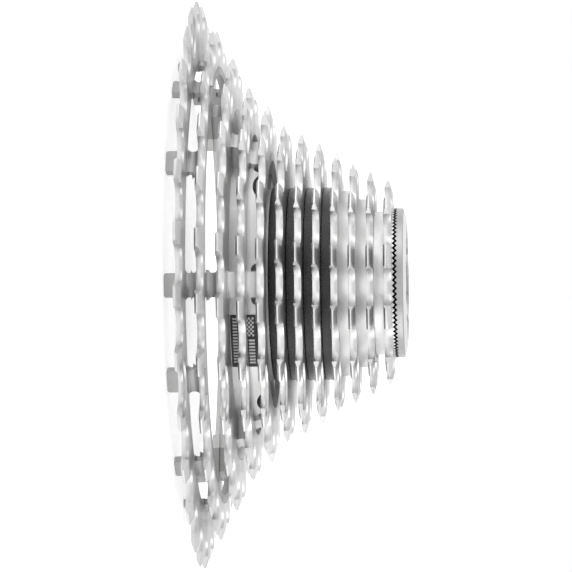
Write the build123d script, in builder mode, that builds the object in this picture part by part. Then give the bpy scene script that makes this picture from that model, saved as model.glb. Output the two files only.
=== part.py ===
"""Twelve-speed bicycle cassette: twelve sprockets, carrier, spacers and lock ring.

Millimetres. +Z runs along the axis from the largest sprocket to the smallest. The origin is on the
axis, in the plane of the carrier's finger ends, on which the cassette lies flat.
"""
from build123d import *
import math
import os

os.makedirs("parts", exist_ok=True)

# ---- chain and stack ----
CHAIN_PITCH = 12.7
SEAT_RADIUS = 3.95  # roller of 7.75 mm diameter, with its running clearance
STACK_PITCH = 3.7  # from one sprocket's middle plane to the next
FIRST_PLANE = 3.7  # middle plane of the largest sprocket
PLATE = 1.5  # sprocket thickness
END_PLATE = 1.7  # the smallest sprocket is a little thicker
TOOTH_COUNTS = (29, 26, 23, 20, 18, 16, 15, 14, 13, 12, 11, 10)
SMALLEST = TOOTH_COUNTS[-1]
# The shift path winds round the stack: each sprocket's timing tooth is a little past its neighbour's.
TIMING_START = -87.9
TIMING_STEP = 1.66

# ---- teeth ----
LAND_WIDTH = 3.6  # flat at the tip of a tooth
LOW_TIP = 1.6  # height of the smallest sprocket's teeth above the pitch circle
TIP_GROWTH = 0.065  # added to it for each tooth more
OUT_BEVEL_RISE = 0.75  # bevel on the outboard side of each tooth, along the axis
OUT_BEVEL_RUN = 2.5  # and along the radius
IN_BEVEL_RISE = 0.42
IN_BEVEL_RUN = 1.3
RAMP_RADIUS = 6.0  # shift ramp: shallow round pocket on the outboard face
RAMP_DEPTH = 0.45

# ---- freehub interface ----
SPLINE_MAJOR = 17.45
SPLINE_MINOR = 16.2
SPLINE_KEYS = 9
KEY_WIDTH = 4.2
WIDE_KEY = 6.2

# ---- bores of the five carried sprockets, largest first ----
RING_BORES = {29: 48.85, 26: 47.4, 23: 38.0, 20: 32.6, 18: 28.5}
SEAT_GAP = 0.05  # the rings' bores clear the carrier's seats by this much

# ---- carrier ----
FINGER_OUTER = RING_BORES[29] - SEAT_GAP
FINGER_WALL = 1.5
FINGER_WIDTH = 5.0
FINGER_CORNER = 0.55
# On the -Y half the fingers are 19 to 32 degrees apart; on the +Y half there are only three.
FINGER_ANGLES = (-168, -149, -121.5, -90, -66.3, -38.2, -12.2, 28, 90, 152)
SHOULDER_INNER = 46.4  # each finger's end turns inwards by this much, under the second sprocket
SHOULDER_THICK = 1.2
RIM_INNER = 45.7
ARM_ANGLES = (-148, -90, -20, 30, 90, 150)
ARM_OUTER = 43.4
ARM_INNER = 35.0
ARM_WIDTH = 5.1
DRUM_RADIUS = 31.0
DRUM_WALL = 2.2
TALL_PAD = 36.3  # radius of the pads between the third and fourth sprockets
LOW_PAD = 32.2  # and between the fourth and fifth
PAD_WIDTH = 5.4
FLARE = 0.6  # the pads and fingers widen into the sprockets on both sides by this radius
SADDLE_RADIUS = 1.5  # and dip between them
SADDLE_DEPTH = 0.35
LIP = 1.55  # radial thickness of the seat of the fifth sprocket
HUB_RADIUS = 20.9
WEB = 1.5
WEB_HOLE = 4.2
WINDOW_ANGLES = (-132, -36, 36, 144)
WINDOW_RADIUS = 5.0
WINDOW_RISE = 3.7  # height of a window's centre above its flat top
RELIEF_RADIUS = 1.3  # small round relief on both sides of each pad, at the drum's end

# ---- spacers and bosses ----
SPACER_RADIUS = 20.9
SPACER_BORE = 17.75
BOSS_RADII = {12: 20.1, 11: 18.25, 10: 15.55}
END_BORE = 13.4  # bore of the smallest sprocket, around the lock ring's barrel
NOSE_DEPTH = 1.1  # splined nose of the smallest sprocket, inside its neighbour's bore

# ---- lock ring ----
FLANGE_RADIUS = 16.2
SERRATIONS = 86
SERRATION_INNER = 14.0
SERRATION_HEIGHT = 0.54
SERRATION_GAP = 0.07
FLANGE_THICK = 1.2
DOME_HEIGHT = 0.6
DOME_BULGE = 0.13
DOME_RADIUS = 12.9
THREAD_RADIUS = 13.0
THREAD_LENGTH = 13.0
TOOL_BORE = 11.0
TOOL_MAJOR = 11.9
TOOL_SPLINES = 12
TOOL_SLOT = 3.0
TOOL_DEPTH = 8.5
TOOL_MOUTH = 12.65

# ---- label ----
LABEL_THICK = 0.12
LABEL_START = -78.3
LABEL_SWEEP = 21.9
LABEL_GAP = 0.1  # from the third sprocket
LABEL_LENGTH = 5.7


def middle_plane(teeth):
    """Height of a sprocket's middle plane."""
    return FIRST_PLANE + STACK_PITCH * TOOTH_COUNTS.index(teeth)


def plate(teeth):
    return END_PLATE if teeth == SMALLEST else PLATE


def inboard(teeth):
    return middle_plane(teeth) - plate(teeth) / 2


def outboard(teeth):
    return middle_plane(teeth) + plate(teeth) / 2


def pitch_radius(teeth):
    return CHAIN_PITCH / (2 * math.sin(math.pi / teeth))


def tip_radius(teeth):
    """Small sprockets have lower teeth."""
    return pitch_radius(teeth) + LOW_TIP + TIP_GROWTH * (teeth - SMALLEST)


def root_radius(teeth):
    return pitch_radius(teeth) - SEAT_RADIUS


def timing_angle(teeth):
    """Polar angle of the middle of the timing tooth."""
    return TIMING_START + TIMING_STEP * TOOTH_COUNTS.index(teeth)


def tooth_gap(teeth):
    """Outline of the space between two teeth, around the +X axis."""
    pitch = pitch_radius(teeth)
    tip = tip_radius(teeth)
    reach = tip + 1
    half_land = LAND_WIDTH / 2 / tip
    half_mouth = tip * math.sin(math.pi / teeth - half_land)
    opening = half_mouth + (half_mouth - SEAT_RADIUS) / (tip - pitch)
    with BuildSketch() as gap:
        with Locations((pitch, 0)):
            Circle(SEAT_RADIUS)
        with BuildLine():
            Polyline(
                (pitch, -SEAT_RADIUS),
                (pitch, SEAT_RADIUS),
                (reach, opening),
                (reach, -opening),
                close=True,
            )
        make_face()
    return gap.sketch


def toothed_plate(teeth):
    """Flat toothed disc between its two faces, with no bore."""
    gap = tooth_gap(teeth)
    with BuildPart() as disc:
        with BuildSketch(Plane.XY.offset(inboard(teeth))):
            Circle(tip_radius(teeth))
            with PolarLocations(0, teeth, start_angle=timing_angle(teeth) + 180 / teeth):
                add(gap, mode=Mode.SUBTRACT)
        extrude(amount=plate(teeth))
    return disc.part


def bevel_cutter(teeth, face, rise, run):
    """Ring that bevels the tips of the teeth on one face; rise is signed along the axis."""
    tip = tip_radius(teeth)
    with BuildPart() as cutter:
        with BuildSketch(Plane.XZ):
            with BuildLine():
                Polyline(
                    (tip - run, face),
                    (tip + 2, face - rise * (run + 2) / run),
                    (tip + 2, face + rise),
                    (tip - run, face + rise),
                    close=True,
                )
            make_face()
        revolve(axis=Axis.Z)
    return cutter.part


def shift_ramps(teeth):
    """Shallow round pockets beside the timing teeth, for the outboard face."""
    count = 2 if teeth < 14 else (3 if teeth < 20 else 4)
    centre = root_radius(teeth) + RAMP_RADIUS - 2.2
    first = timing_angle(teeth) + 540 / teeth
    turns = [first + 360 / teeth * round(teeth * k / count) for k in range(count)]
    with BuildPart() as ramps:
        for turn in turns:
            spot = Plane.XY.rotated((0, 0, turn)).offset(outboard(teeth) - RAMP_DEPTH)
            with BuildSketch(spot):
                with Locations((centre, 0)):
                    Circle(RAMP_RADIUS)
            extrude(amount=1)
    return ramps.part


def toothed_blank(teeth):
    """Toothed disc with bevelled teeth and, above the smallest sizes, shift ramps."""
    with BuildPart() as blank:
        add(toothed_plate(teeth))
        add(bevel_cutter(teeth, outboard(teeth), OUT_BEVEL_RISE, OUT_BEVEL_RUN), mode=Mode.SUBTRACT)
        add(bevel_cutter(teeth, inboard(teeth), -IN_BEVEL_RISE, IN_BEVEL_RUN), mode=Mode.SUBTRACT)
        if teeth > SMALLEST:
            add(shift_ramps(teeth), mode=Mode.SUBTRACT)
    return blank.part


def spline_bore(bottom, top):
    """Space that the freehub's splines fill, between two heights."""
    depth = SPLINE_MAJOR - SPLINE_MINOR
    with BuildPart() as bore:
        with BuildSketch(Plane.XY.offset(bottom)):
            Circle(SPLINE_MAJOR)
            with PolarLocations(SPLINE_MINOR + depth, SPLINE_KEYS):
                Rectangle(2 * depth, KEY_WIDTH, mode=Mode.SUBTRACT)
            with Locations((SPLINE_MINOR + depth, 0)):
                Rectangle(2 * depth, WIDE_KEY, mode=Mode.SUBTRACT)
        extrude(amount=top - bottom)
    return bore.part


def serration_ring(base, direction, turn):
    """Ring of radial V crests on a flat face; direction is +1 or -1 along the axis."""
    crest = base + direction * SERRATION_HEIGHT
    step = 2 * math.pi * FLANGE_RADIUS / SERRATIONS
    with BuildPart() as groove:
        with BuildSketch(Plane.YZ.offset(SERRATION_INNER - 1)):
            with BuildLine():
                Polyline((0, base), (step / 2, crest), (-step / 2, crest), close=True)
            make_face()
        extrude(amount=FLANGE_RADIUS - SERRATION_INNER + 2)
    with BuildPart() as ring:
        with BuildSketch(Plane.XY.offset(base)):
            Circle(FLANGE_RADIUS)
            Circle(SERRATION_INNER, mode=Mode.SUBTRACT)
        extrude(amount=direction * SERRATION_HEIGHT)
        with PolarLocations(0, SERRATIONS, start_angle=turn):
            add(groove.part, mode=Mode.SUBTRACT)
    return ring.part


def carried_sprocket(teeth):
    """Toothed ring pressed onto the carrier."""
    with BuildPart() as ring:
        add(toothed_blank(teeth))
        with Locations((0, 0, middle_plane(teeth))):
            Hole(RING_BORES[teeth])
    return ring.part


def loose_sprocket(teeth):
    """Toothed disc with a splined bore and, on the two smaller ones, an inboard boss."""
    bottom = inboard(teeth)
    with BuildPart() as cog:
        add(toothed_blank(teeth))
        if teeth in BOSS_RADII:
            bottom = outboard(teeth + 1)
            with BuildSketch(Plane.XY.offset(bottom)):
                Circle(BOSS_RADII[teeth])
            extrude(amount=inboard(teeth) - bottom)
        add(spline_bore(bottom - 1, outboard(teeth) + 1), mode=Mode.SUBTRACT)
    return cog.part


def end_sprocket():
    """Smallest sprocket: it overhangs the freehub, keyed to its neighbour by a splined nose."""
    teeth = SMALLEST
    foot = outboard(teeth + 1)
    nose_gap = 0.1
    crown = outboard(teeth)
    with BuildPart() as cog:
        add(toothed_blank(teeth))
        with BuildSketch(Plane.XY.offset(foot)):
            Circle(BOSS_RADII[teeth])
        extrude(amount=inboard(teeth) - foot)
        with BuildSketch(Plane.XY.offset(foot - NOSE_DEPTH)):
            Circle(SPLINE_MAJOR - nose_gap)
            with PolarLocations(SPLINE_MAJOR, SPLINE_KEYS):
                Rectangle(2 * (SPLINE_MAJOR - BOSS_RADII[teeth]), KEY_WIDTH + 0.4, mode=Mode.SUBTRACT)
            with Locations((SPLINE_MAJOR, 0)):
                Rectangle(2 * (SPLINE_MAJOR - BOSS_RADII[teeth]), WIDE_KEY + 0.4, mode=Mode.SUBTRACT)
        extrude(amount=NOSE_DEPTH)
        add(serration_ring(crown, 1, 0))
        Hole(END_BORE)
    return cog.part


def spacer(teeth):
    """Plastic ring on the inboard side of a sprocket."""
    bottom = outboard(TOOTH_COUNTS[TOOTH_COUNTS.index(teeth) - 1])
    with BuildPart() as ring:
        with BuildSketch(Plane.XY.offset(bottom)):
            Circle(SPACER_RADIUS)
            Circle(SPACER_BORE, mode=Mode.SUBTRACT)
        extrude(amount=inboard(teeth) - bottom)
        chamfer(ring.edges().filter_by(GeomType.CIRCLE).sort_by(SortBy.RADIUS)[-2:], 0.2)
    return ring.part


def ring_band(outer, inner, bottom, top):
    """Plain ring between two heights."""
    with BuildPart() as band:
        with BuildSketch(Plane.XY.offset(bottom)):
            Circle(outer)
            Circle(inner, mode=Mode.SUBTRACT)
        extrude(amount=top - bottom)
    return band.part


def saddle(outer, middle):
    """Shallow round groove in the outside of a ring of pads."""
    with BuildPart() as groove:
        with BuildSketch(Plane.XZ):
            with Locations((outer + SADDLE_RADIUS - SADDLE_DEPTH, middle)):
                Circle(SADDLE_RADIUS)
        revolve(axis=Axis.Z)
    return groove.part


def pillar(outer, inner, width, bottom, top):
    """Pad around the +X axis that fills the gap between two sprockets, flared at both ends."""
    middle = (bottom + top) / 2
    side = width / 2 + FLARE
    with BuildPart() as pad:
        with BuildSketch(Plane.YZ.offset(inner - 1)):
            with Locations((0, middle)):
                Rectangle(2 * side, top - bottom)
            with Locations((side, middle), (-side, middle)):
                RectangleRounded(2 * FLARE, top - bottom, 0.98 * FLARE, mode=Mode.SUBTRACT)
        extrude(amount=outer - inner + 2)
        add(ring_band(outer, inner, bottom, top), mode=Mode.INTERSECT)
        add(saddle(outer, middle), mode=Mode.SUBTRACT)
    return pad.part


def finger():
    """One finger around the +X axis, from its foot to the seat of the second sprocket."""
    shoulder = inboard(26)
    inner = FINGER_OUTER - FINGER_WALL
    with BuildPart() as bar:
        with BuildSketch(Plane.YZ.offset(inner - 1)):
            with Locations((0, outboard(29) / 2)):
                RectangleRounded(FINGER_WIDTH, outboard(29), FINGER_CORNER)
            with Locations((0, outboard(29) - PLATE / 2)):
                Rectangle(FINGER_WIDTH + FLARE, PLATE)
        extrude(amount=FINGER_WALL + 2)
        add(ring_band(FINGER_OUTER, inner, 0, outboard(29)), mode=Mode.INTERSECT)
        add(pillar(FINGER_OUTER, inner, FINGER_WIDTH, outboard(29), shoulder))
        add(pillar(inner + 0.4, SHOULDER_INNER, FINGER_WIDTH, shoulder - SHOULDER_THICK, shoulder))
    return bar.part


def around(piece, angles):
    """Copies of one piece turned to several angles."""
    with BuildPart() as ring:
        for angle in angles:
            add(piece.rotate(Axis.Z, angle))
    return ring.part


def radial_bars(outer, inner, width, bottom, top):
    """Bars at the six arm angles, cut from one ring."""
    with BuildPart() as bars:
        for angle in ARM_ANGLES:
            with BuildSketch(Plane.XY.offset(bottom).rotated((0, 0, angle))):
                with Locations(((outer + inner) / 2, 0)):
                    Rectangle(outer - inner + 2, width)
                Circle(outer, mode=Mode.INTERSECT)
                Circle(inner, mode=Mode.SUBTRACT)
            extrude(amount=top - bottom)
    return bars.part


def web_holes(bottom, top):
    """Six lightening holes between the arms."""
    with BuildPart() as holes:
        with BuildSketch(Plane.XY.offset(bottom)):
            with PolarLocations((HUB_RADIUS + DRUM_RADIUS - DRUM_WALL) / 2, 6, start_angle=0):
                SlotOverall(2.4 * WEB_HOLE, 1.4 * WEB_HOLE, rotation=90)
        extrude(amount=top - bottom)
    return holes.part


def drum_windows(top, inner):
    """Radial openings in the drum's wall, flat along their outboard side."""
    reach = DRUM_RADIUS + 1 - inner
    sweep = math.degrees((PAD_WIDTH / 2 + 0.4) / DRUM_RADIUS)
    with BuildPart() as window:
        with BuildSketch(Plane.YZ.offset(inner)):
            with Locations((0, top + WINDOW_RISE)):
                Circle(WINDOW_RADIUS)
            with Locations((0, top - WINDOW_RADIUS)):
                Rectangle(4 * WINDOW_RADIUS, 2 * WINDOW_RADIUS, mode=Mode.INTERSECT)
        extrude(amount=reach)
    with BuildPart() as relief:
        with BuildSketch(Plane.YZ.offset(inner)):
            with Locations((0, top)):
                Circle(RELIEF_RADIUS)
            with Locations((0, top - WINDOW_RADIUS)):
                Rectangle(4 * WINDOW_RADIUS, 2 * WINDOW_RADIUS, mode=Mode.INTERSECT)
        extrude(amount=reach)
    beside = [angle + side * sweep for angle in ARM_ANGLES for side in (-1, 1)]
    with BuildPart() as openings:
        add(around(window.part, WINDOW_ANGLES))
        add(around(relief.part, beside))
    return openings.part


def seats():
    """Rings and bars of the carrier that lie inside the sprockets' bores."""
    rim = RING_BORES[26] - SEAT_GAP
    lip = RING_BORES[18] - SEAT_GAP
    drum_end = inboard(18)
    with BuildPart() as body:
        add(ring_band(rim, RIM_INNER, inboard(26), outboard(26)))
        add(radial_bars(rim - 1, ARM_INNER, ARM_WIDTH, inboard(26), outboard(26)))
        add(ring_band(RING_BORES[23] - SEAT_GAP, SPLINE_MINOR, inboard(23), inboard(23) + WEB))
        add(radial_bars(RING_BORES[20] - SEAT_GAP, DRUM_RADIUS - 1, PAD_WIDTH, inboard(20), outboard(20)))
        add(ring_band(DRUM_RADIUS, lip - LIP, drum_end - WEB, drum_end))
        add(ring_band(lip, lip - LIP, drum_end - WEB, outboard(18)))
    return body.part


def carrier():
    """Drum, hub, six arms, rim and ten fingers in one machined piece."""
    drum_end = inboard(18)
    hub_start = inboard(23)
    hub_end = outboard(18)
    inner_lip = RING_BORES[18] - SEAT_GAP - LIP
    arm = pillar(ARM_OUTER, ARM_INNER, ARM_WIDTH, outboard(26), inboard(23))
    tall_pad = pillar(TALL_PAD, DRUM_RADIUS - 1, PAD_WIDTH, outboard(23), inboard(20))
    low_pad = pillar(LOW_PAD, DRUM_RADIUS - 1, PAD_WIDTH, outboard(20), drum_end)
    with BuildPart() as body:
        add(seats())
        add(ring_band(DRUM_RADIUS, DRUM_RADIUS - DRUM_WALL, hub_start, drum_end))
        add(drum_windows(drum_end, inner_lip - 1), mode=Mode.SUBTRACT)
        add(around(finger(), FINGER_ANGLES))
        add(around(arm, ARM_ANGLES))
        add(around(tall_pad, ARM_ANGLES))
        add(around(low_pad, ARM_ANGLES))
        add(radial_bars(inner_lip + 0.5, HUB_RADIUS - 1, ARM_WIDTH, hub_start, hub_end - 1))
        add(ring_band(HUB_RADIUS, SPLINE_MINOR, hub_start, hub_end))
        add(web_holes(hub_start - 1, hub_start + WEB + 1), mode=Mode.SUBTRACT)
        add(spline_bore(hub_start - 1, hub_end + 1), mode=Mode.SUBTRACT)
    return body.part


def lock_ring_profile(face):
    """Half section of the lock ring in the XZ plane, outboard of the serrations' base."""
    rim = face + FLANGE_THICK
    shoulder = (FLANGE_RADIUS - 0.35, rim)
    crown = (DOME_RADIUS, rim + DOME_HEIGHT)
    middle = ((shoulder[0] + crown[0]) / 2, rim + DOME_HEIGHT / 2)
    bulge = (middle[0] + DOME_BULGE, middle[1] + DOME_BULGE)
    with BuildSketch(Plane.XZ) as profile:
        with BuildLine():
            Polyline(
                (TOOL_BORE, face - THREAD_LENGTH),
                (THREAD_RADIUS - 0.6, face - THREAD_LENGTH),
                (THREAD_RADIUS, face - THREAD_LENGTH + 0.6),
                (THREAD_RADIUS, face),
                (FLANGE_RADIUS, face),
                (FLANGE_RADIUS, rim - 0.15),
                shoulder,
            )
            ThreePointArc(shoulder, bulge, crown)
            Polyline(crown, (TOOL_BORE, rim + DOME_HEIGHT), (TOOL_BORE, face - THREAD_LENGTH))
        make_face()
    return profile.sketch


def lock_ring():
    """Flange with a serrated inner face, threaded barrel and twelve-spline tool recess."""
    face = outboard(SMALLEST) + 2 * SERRATION_HEIGHT + SERRATION_GAP
    top = face + FLANGE_THICK + DOME_HEIGHT
    with BuildPart() as ring:
        add(lock_ring_profile(face))
        revolve(axis=Axis.Z)
        add(serration_ring(face, -1, 180 / SERRATIONS))
        with BuildSketch(Plane.XY.offset(top - TOOL_DEPTH)):
            with PolarLocations(TOOL_BORE, TOOL_SPLINES, start_angle=-78):
                Rectangle(2 * (TOOL_MAJOR - TOOL_BORE), TOOL_SLOT)
        extrude(amount=TOOL_DEPTH, mode=Mode.SUBTRACT)
        with BuildSketch(Plane.XY.offset(top - DOME_HEIGHT / 2)):
            with PolarLocations(TOOL_BORE, TOOL_SPLINES, start_angle=-78):
                Rectangle(2 * (TOOL_MOUTH - TOOL_BORE), TOOL_SLOT)
        extrude(amount=DOME_HEIGHT, mode=Mode.SUBTRACT)
    return ring.part


def label():
    """Thin label wrapped on the drum, below the 20 tooth sprocket."""
    start = outboard(23) + LABEL_GAP
    with BuildPart() as patch:
        with BuildSketch(Plane.XZ.rotated((0, 0, LABEL_START))):
            with Locations((DRUM_RADIUS + LABEL_THICK / 2, start + LABEL_LENGTH / 2)):
                Rectangle(LABEL_THICK, LABEL_LENGTH)
        revolve(axis=Axis.Z, revolution_arc=LABEL_SWEEP)
    return patch.part


def save(piece, name):
    piece.label = name
    export_step(piece, f"parts/{name}.step")


for tooth_count in TOOTH_COUNTS[:5]:
    save(carried_sprocket(tooth_count), f"sprocket_{tooth_count}t")
for tooth_count in TOOTH_COUNTS[5:-1]:
    save(loose_sprocket(tooth_count), f"sprocket_{tooth_count}t")
save(end_sprocket(), f"sprocket_{SMALLEST}t")
for tooth_count in TOOTH_COUNTS[5:9]:
    save(spacer(tooth_count), f"spacer_inside_{tooth_count}t")
save(carrier(), "carrier")
save(lock_ring(), "lock_ring")
save(label(), "label")
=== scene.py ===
"""Looks of a twelve-speed bicycle cassette: metals, plastic, label print, light and camera.

Everything is in metres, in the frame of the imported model: +Z along the axis from the largest
sprocket to the smallest, origin in the plane of the carrier's finger ends.
"""
import math

import bpy
from mathutils import Matrix, Vector


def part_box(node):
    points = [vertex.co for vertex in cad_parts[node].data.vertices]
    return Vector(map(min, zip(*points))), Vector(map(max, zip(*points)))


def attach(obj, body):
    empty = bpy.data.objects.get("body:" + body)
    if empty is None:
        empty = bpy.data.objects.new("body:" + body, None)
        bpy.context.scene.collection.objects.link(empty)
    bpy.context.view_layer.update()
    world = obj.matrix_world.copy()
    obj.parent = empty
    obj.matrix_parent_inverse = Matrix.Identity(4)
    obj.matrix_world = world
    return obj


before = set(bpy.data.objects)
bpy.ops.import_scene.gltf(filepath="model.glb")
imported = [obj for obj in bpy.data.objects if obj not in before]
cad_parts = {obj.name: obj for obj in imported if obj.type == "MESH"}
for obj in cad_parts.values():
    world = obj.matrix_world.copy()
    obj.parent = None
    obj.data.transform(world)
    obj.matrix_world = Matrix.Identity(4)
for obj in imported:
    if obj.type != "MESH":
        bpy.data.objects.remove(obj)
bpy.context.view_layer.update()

MM = 0.001
TEETH = (29, 26, 23, 20, 18, 16, 15, 14, 13, 12, 11, 10)
SPACED = (16, 15, 14, 13)
SMALLEST = TEETH[-1]

# painted light and shade: a factor on each sprocket's plate colour, lighter or darker to stand in for
# how the light falls on it, from the largest to the smallest
PAINTED_LIGHT_LEVELS = (0.70, 0.80, 0.86, 0.90, 0.90, 0.88, 0.86, 0.84, 0.80, 0.82, 0.75, 0.76)

# chamfer on the sprockets' sharp edges
EDGE_WIDTH = 0.09 * MM
EDGE_ANGLE = math.radians(35)
WELD_DISTANCE = 0.001 * MM

# the two serrated faces that meet under the lock ring
SERRATION_HEIGHT = 0.54 * MM
SERRATION_DEPTH = 1.14 * MM
SERRATION_LIFT = 0.01 * MM
SERRATION_RADIUS = 16.12 * MM
FLANGE_HEIGHT = 1.25 * MM

# painted light and shade: the carrier is coloured lighter inside this radius, as if lit, and darker
# outside it, as if shaded
DRUM_RADIUS = 37.9 * MM

# painted shade: near black laid in the gap where the two serrated faces meet under the lock ring
PAINTED_SHADE_BLACK = (0.012, 0.012, 0.013, 1)
WHITE = (1, 1, 1, 1)
EVERYWHERE = 1.0  # metres, past every surface of the model

# roughness of every noise, and the middle range of its values
NOISE_ROUGHNESS = 0.55
NOISE_LOW = 0.35
NOISE_HIGH = 0.65

# print on the label: heights above its inboard edge, and polar angles from its first edge
LABEL_RADIUS = 31.12 * MM
LABEL_FIRST_ANGLE = -78.3
INK_THICK = 0.012 * MM
INK_STEP = 0.5  # degrees between the points of a patch
INK_FILL = 0.58  # inked share of a block's pitch
ROWS = (  # inboard height, outboard height (mm), first angle, last angle, blocks
    (0.45, 1.45, 1.2, 20.4, 15),
    (3.75, 5.0, 9.9, 20.9, 8),
)
PANEL = (2.9, 4.9, 1.0, 8.6)  # a plain chequered square
PANEL_CELLS = (5, 9)

# surroundings: the colour straight to the -Y side, and the direction from which they are white
WORLD_FRONT = (0.66, 0.66, 0.67, 1)
FRONT_Y = -1
WHITE_FROM_Y = 0.2

# floor, camera and lights
FLOOR_HALF = 4.0
SENSOR_WIDTH = 36
LENS = 203.1
CLIP_NEAR = 0.01
CLIP_FAR = 20
CAMERA_EYE = (0.0004, -0.70, 0.0656)
CAMERA_TARGET = (0.0004, 0, 0.0218)
CAMERA_ROLL = 0.7
LIGHT_TARGET = (0, 0, 0.02)
SOFTBOXES = (  # name, eye, side, power in watts
    ("softbox_left", (-0.58, -0.22, 0.15), 0.5, 0.75),
    ("softbox_right", (0.58, -0.22, 0.15), 0.5, 0.95),
    ("softbox_front", (0, -0.5, 0.4), 0.4, 0.3),
)


# ---- materials ----

class Nodes:
    """Short way to add and link shader nodes in one material."""

    def __init__(self, name):
        self.material = bpy.data.materials.new(name)
        self.material.use_nodes = True
        self.tree = self.material.node_tree
        self.shader = self.tree.nodes["Principled BSDF"]

    def add(self, kind, **settings):
        node = self.tree.nodes.new(kind)
        for key, value in settings.items():
            setattr(node, key, value)
        return node

    def link(self, output, socket):
        self.tree.links.new(output, socket)

    def feed(self, socket, value):
        """Links a node's output to the socket, or sets the socket to a plain value."""
        if isinstance(value, bpy.types.NodeSocket):
            self.link(value, socket)
        else:
            socket.default_value = value

    def shade(self, **values):
        """Feeds sockets of the shader, named in lower case with underscores."""
        for key, value in values.items():
            self.feed(self.shader.inputs[key.replace("_", " ").title()], value)

    def math(self, operation, *values):
        node = self.add("ShaderNodeMath", operation=operation)
        for socket, value in zip(node.inputs, values):
            self.feed(socket, value)
        return node.outputs[0]

    def mix(self, factor, first, second):
        node = self.add("ShaderNodeMix", data_type="RGBA")
        for name, value in (("Factor", factor), ("A", first), ("B", second)):
            self.feed([i for i in node.inputs if i.name == name and i.enabled][0], value)
        return [o for o in node.outputs if o.enabled][0]

    def place(self):
        return self.add("ShaderNodeTexCoord").outputs["Object"]

    def noise(self, where, scale, detail):
        node = self.add("ShaderNodeTexNoise")
        node.inputs["Scale"].default_value = scale
        node.inputs["Detail"].default_value = detail
        node.inputs["Roughness"].default_value = NOISE_ROUGHNESS
        self.link(where, node.inputs["Vector"])
        return node.outputs["Fac"]

    def span(self, value, low, high):
        """Maps the middle range of a noise value to the range from low to high."""
        node = self.add("ShaderNodeMapRange")
        node.inputs["From Min"].default_value = NOISE_LOW
        node.inputs["From Max"].default_value = NOISE_HIGH
        node.inputs["To Min"].default_value = low
        node.inputs["To Max"].default_value = high
        self.link(value, node.inputs["Value"])
        return node.outputs["Result"]

    def ramp(self, value, *stops):
        """Colours a value by two (position, colour) stops."""
        node = self.add("ShaderNodeValToRGB")
        for element, (position, colour) in zip(node.color_ramp.elements, stops):
            element.position = position
            element.color = (*colour, 1)
        self.link(value, node.inputs["Fac"])
        return node.outputs["Color"]

    def bump(self, height, depth, strength, normal=None):
        node = self.add("ShaderNodeBump")
        node.inputs["Distance"].default_value = depth
        node.inputs["Strength"].default_value = strength
        self.link(height, node.inputs["Height"])
        if normal is not None:
            self.link(normal, node.inputs["Normal"])
        return node.outputs["Normal"]

    def cylindrical(self, where):
        """Radius, x, y and height of a point, for the axis of the cassette."""
        split = self.add("ShaderNodeSeparateXYZ")
        self.link(where, split.inputs[0])
        x, y, z = split.outputs
        squares = self.math("ADD", self.math("MULTIPLY", x, x), self.math("MULTIPLY", y, y))
        return self.math("SQRT", squares), x, y, z

    def turned(self, where, along, round_the_axis):
        """Coordinates in which noise becomes the rings that a lathe leaves."""
        radius, x, y, z = self.cylindrical(where)
        angle = self.math("ARCTAN2", y, x)
        node = self.add("ShaderNodeCombineXYZ")
        self.link(self.math("MULTIPLY", radius, along), node.inputs[0])
        self.link(self.math("MULTIPLY", angle, round_the_axis), node.inputs[1])
        self.link(self.math("MULTIPLY", z, along), node.inputs[2])
        return node.outputs[0]

    def between(self, where, low, high, inside):
        """1 at points nearer to the axis than inside whose height is between low and high, else 0."""
        radius, _, _, z = self.cylindrical(where)
        tall = self.math("MULTIPLY", self.math("GREATER_THAN", z, low), self.math("LESS_THAN", z, high))
        return self.math("MULTIPLY", tall, self.math("LESS_THAN", radius, inside))


def grey(value, warm=0.0):
    return (value * (1 + warm), value, value * (1 - warm))


def serration_zone():
    """Heights between which the two serrated faces lie, and the radius just inside their rim."""
    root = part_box("sprocket_10t")[1][2] - SERRATION_HEIGHT
    return root + SERRATION_LIFT, root + SERRATION_DEPTH, SERRATION_RADIUS


def plated_steel(teeth, painted_light_factor):
    """Satin nickel plate over blanked steel: fine grain, faint turning marks, uneven sheen."""
    m = Nodes(f"plated_steel_{teeth}t")
    where = m.place()
    cloud = m.noise(where, 90, 4)
    grain = m.noise(where, 5200, 2)
    rings = m.noise(m.turned(where, 2600, 5), 1.0, 2)
    # painted light and shade: the plate colour is scaled by the sprocket's own factor, lighter or
    # darker for how the light falls on it
    plate = m.ramp(cloud, (0.35, grey(0.80 * painted_light_factor, 0.004)), (0.7, grey(0.90 * painted_light_factor, 0.002)))
    # painted shade: near black on the serrated face, in the gap under the lock ring
    if teeth == SMALLEST:
        plate = m.mix(m.between(where, *serration_zone()), plate, PAINTED_SHADE_BLACK)
    sheen = m.math("ADD", m.math("MULTIPLY", cloud, 0.6), m.math("MULTIPLY", grain, 0.4))
    relief = m.bump(rings, 0.00002, 0.3, m.bump(grain, 0.00002, 0.35))
    m.shade(base_color=plate, roughness=m.span(sheen, 0.30, 0.42), normal=relief, metallic=1.0)
    return m.material


def machined_aluminium():
    """Anodised aluminium with the rings of the lathe, painted lighter on the drum and darker outside
    it: lit and shaded copies of one colour.
    """
    m = Nodes("machined_aluminium")
    where = m.place()
    cloud = m.noise(where, 120, 4)
    grain = m.noise(where, 4200, 3)
    rings = m.noise(m.turned(where, 3000, 3), 1.0, 2)
    # painted light and shade: a darker copy outside the drum and a lighter copy on it
    shaded_outside = m.ramp(cloud, (0.3, grey(0.36, 0.004)), (0.75, grey(0.44, 0.004)))
    lit_drum = m.ramp(cloud, (0.3, grey(0.66, 0.004)), (0.75, grey(0.74, 0.004)))
    colour = m.mix(m.between(where, -EVERYWHERE, EVERYWHERE, DRUM_RADIUS), shaded_outside, lit_drum)
    relief = m.bump(rings, 0.00003, 0.5, m.bump(grain, 0.00003, 0.4))
    m.shade(base_color=colour, roughness=m.span(grain, 0.34, 0.46), normal=relief, metallic=0.8)
    return m.material


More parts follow.
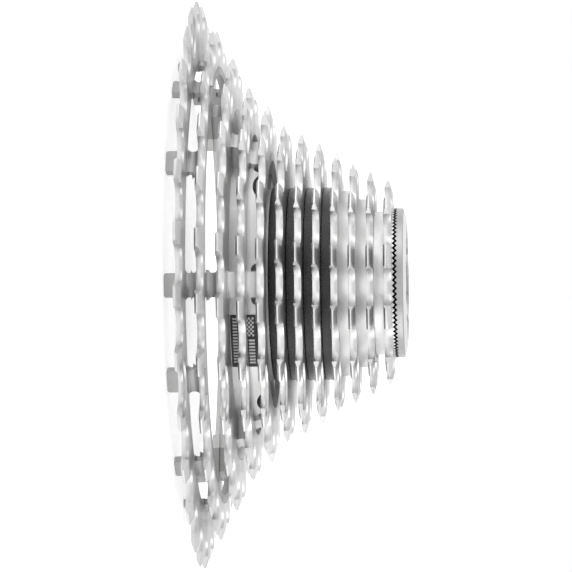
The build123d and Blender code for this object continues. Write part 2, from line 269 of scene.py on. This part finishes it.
def turned_steel():
    """Lock ring: close lathe rings, the dome painted light and the flange painted darker as shade, with
    painted shade in near black between the serrations.
    """
    m = Nodes("turned_steel")
    where = m.place()
    cloud = m.noise(where, 150, 3)
    rings = m.noise(m.turned(where, 6000, 3), 1.0, 3)
    # painted light and shade: a lighter copy of the steel for the dome and a darker copy for the flange
    # beside the smallest sprocket
    dome = m.ramp(cloud, (0.3, grey(0.74)), (0.7, grey(0.84)))
    flange = m.ramp(cloud, (0.3, grey(0.36)), (0.7, grey(0.44)))
    low, high, inside = serration_zone()
    whole = m.mix(m.between(where, low, high + FLANGE_HEIGHT, EVERYWHERE), dome, flange)
    # painted shade: near black in the gap between the serrated faces
    colour = m.mix(m.between(where, low, high, inside), whole, PAINTED_SHADE_BLACK)
    relief = m.bump(rings, 0.00002, 0.5)
    m.shade(base_color=colour, roughness=m.span(rings, 0.28, 0.42), normal=relief, metallic=1.0)
    return m.material


def moulded_plastic():
    """Black moulded spacers: low gloss with a fine mould texture."""
    m = Nodes("moulded_plastic")
    where = m.place()
    grain = m.noise(where, 3000, 3)
    cloud = m.noise(where, 160, 3)
    colour = m.ramp(cloud, (0.3, grey(0.006)), (0.75, grey(0.014)))
    m.shade(base_color=colour, roughness=m.span(grain, 0.22, 0.34), normal=m.bump(grain, 0.00003, 0.5))
    return m.material


def label_film():
    """Black printed film with a faint orange-peel surface."""
    m = Nodes("label_film")
    peel = m.noise(m.place(), 1500, 2)
    colour = m.ramp(peel, (0.3, grey(0.016)), (0.7, grey(0.028)))
    m.shade(base_color=colour, roughness=m.span(peel, 0.38, 0.5), normal=m.bump(peel, 0.00001, 0.4))
    return m.material


def label_ink():
    """White ink, a little worn."""
    m = Nodes("label_ink")
    wear = m.noise(m.place(), 2600, 3)
    colour = m.ramp(wear, (0.25, grey(0.35)), (0.45, grey(0.8)))
    m.shade(base_color=colour, roughness=m.span(wear, 0.5, 0.65))
    return m.material


def floor_paper():
    """Pale seamless paper that glows a little, as on a light table."""
    m = Nodes("floor_paper")
    fibre = m.noise(m.place(), 900, 4)
    colour = m.ramp(fibre, (0.3, grey(0.88)), (0.7, grey(0.92)))
    m.shade(base_color=colour, roughness=0.9, normal=m.bump(fibre, 0.0001, 0.1))
    m.shade(emission_color=WHITE, emission_strength=0.55)
    return m.material


def dress(node, material):
    """Gives a CAD node its material."""
    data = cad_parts[node].data
    data.materials.clear()
    data.materials.append(material)


def break_edges(node):
    """Breaks a CAD node's sharp edges by a narrow chamfer, so that they catch the light."""
    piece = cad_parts[node]
    weld = piece.modifiers.new("weld", "WELD")
    weld.merge_threshold = WELD_DISTANCE
    edge = piece.modifiers.new("edge", "BEVEL")
    edge.width = EDGE_WIDTH
    edge.segments = 2
    edge.limit_method = "ANGLE"
    edge.angle_limit = EDGE_ANGLE


# ---- meshes ----

def mesh_object(name, points, faces, material):
    data = bpy.data.meshes.new(name)
    data.from_pydata(points, [], faces)
    data.validate()
    data.materials.append(material)
    for polygon in data.polygons:
        polygon.use_smooth = False
    made = bpy.data.objects.new(name, data)
    bpy.context.scene.collection.objects.link(made)
    return made


def ink_patch(points, faces, low, high, first, last):
    """Adds one printed patch, curved round the label, to a list of points and faces."""
    start = len(points)
    steps = max(1, round((last - first) / INK_STEP))
    radius = LABEL_RADIUS + INK_THICK
    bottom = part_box("label")[0][2]
    for k in range(steps + 1):
        turn = math.radians(LABEL_FIRST_ANGLE + first + (last - first) * k / steps)
        for height in (low, high):
            points.append((radius * math.cos(turn), radius * math.sin(turn), bottom + height * MM))
    for k in range(steps):
        a = start + 2 * k
        faces.append((a, a + 2, a + 3, a + 1))


def printed_patches():
    """Heights and angles of every patch of print: rows of equal blocks, then every other cell."""
    for low, high, first, last, count in ROWS:
        pitch = (last - first) / count
        for k in range(count):
            yield low, high, first + pitch * k, first + pitch * (k + INK_FILL)
    low, high, first, last = PANEL
    across, along = PANEL_CELLS
    width = (high - low) / across
    length = (last - first) / along
    for i in range(across):
        for j in range(i % 2, along, 2):
            left = low + width * i
            start = first + length * j
            yield left, left + width, start, start + length


def label_print(material):
    """Generic print: two rows of equal blocks and a chequered square, with no lettering or code."""
    points = []
    faces = []
    for patch in printed_patches():
        ink_patch(points, faces, *patch)
    made = mesh_object("label_print", points, faces, material)
    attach(made, "carrier_group")


# ---- staging ----

def add_floor(material):
    corners = [
        (-FLOOR_HALF, -FLOOR_HALF, 0),
        (FLOOR_HALF, -FLOOR_HALF, 0),
        (FLOOR_HALF, FLOOR_HALF, 0),
        (-FLOOR_HALF, FLOOR_HALF, 0),
    ]
    floor = mesh_object("floor", corners, [(0, 1, 2, 3)], material)


def aim(thing, eye, target, across, roll=0.0):
    """Places a camera or light at eye, looking at target, with its own X axis along across."""
    forward = (Vector(target) - Vector(eye)).normalized()
    right = (Vector(across) - forward * forward.dot(Vector(across))).normalized()
    up = (-forward).cross(right)
    turn = Matrix.Rotation(math.radians(-roll), 3, "Z")
    axes = Matrix((right, up, -forward)).transposed() @ turn
    thing.matrix_world = Matrix.Translation(Vector(eye)) @ axes.to_4x4()


def add_camera():
    """Camera square to the axis, turned so that the axis runs across the picture."""
    data = bpy.data.cameras.new("camera")
    data.lens = LENS
    data.sensor_width = SENSOR_WIDTH
    data.clip_start = CLIP_NEAR
    data.clip_end = CLIP_FAR
    camera = bpy.data.objects.new("camera", data)
    bpy.context.scene.collection.objects.link(camera)
    aim(camera, CAMERA_EYE, CAMERA_TARGET, (0, 0, 1), roll=CAMERA_ROLL)
    bpy.context.scene.camera = camera


def add_light(name, eye, side, power):
    """Square softbox aimed at the middle of the cassette."""
    data = bpy.data.lights.new(name, "AREA")
    data.shape = "RECTANGLE"
    data.size = side
    data.size_y = side
    data.energy = power
    light = bpy.data.objects.new(name, data)
    bpy.context.scene.collection.objects.link(light)
    aim(light, eye, LIGHT_TARGET, (1, 0, 0))


def add_world():
    """White surroundings, a little darker on the -Y side."""
    world = bpy.data.worlds.new("studio")
    bpy.context.scene.world = world
    world.use_nodes = True
    tree = world.node_tree
    back = tree.nodes["Background"]
    coordinates = tree.nodes.new("ShaderNodeTexCoord")
    split = tree.nodes.new("ShaderNodeSeparateXYZ")
    shade = tree.nodes.new("ShaderNodeValToRGB")
    span = tree.nodes.new("ShaderNodeMapRange")
    tree.links.new(coordinates.outputs["Generated"], split.inputs[0])
    tree.links.new(split.outputs["Y"], span.inputs["Value"])
    span.inputs["From Min"].default_value = FRONT_Y
    span.inputs["From Max"].default_value = WHITE_FROM_Y
    shade.color_ramp.elements[0].color = WORLD_FRONT
    shade.color_ramp.elements[1].color = WHITE
    tree.links.new(span.outputs["Result"], shade.inputs["Fac"])
    tree.links.new(shade.outputs["Color"], back.inputs["Color"])


for teeth, painted_light_factor in zip(TEETH, PAINTED_LIGHT_LEVELS):
    dress(f"sprocket_{teeth}t", plated_steel(teeth, painted_light_factor))
    break_edges(f"sprocket_{teeth}t")
plastic = moulded_plastic()
for teeth in SPACED:
    dress(f"spacer_inside_{teeth}t", plastic)
dress("carrier", machined_aluminium())
dress("lock_ring", turned_steel())
dress("label", label_film())
label_print(label_ink())

add_floor(floor_paper())
add_world()
for softbox in SOFTBOXES:
    add_light(*softbox)
add_camera()
bpy.context.scene.view_settings.view_transform = "Standard"
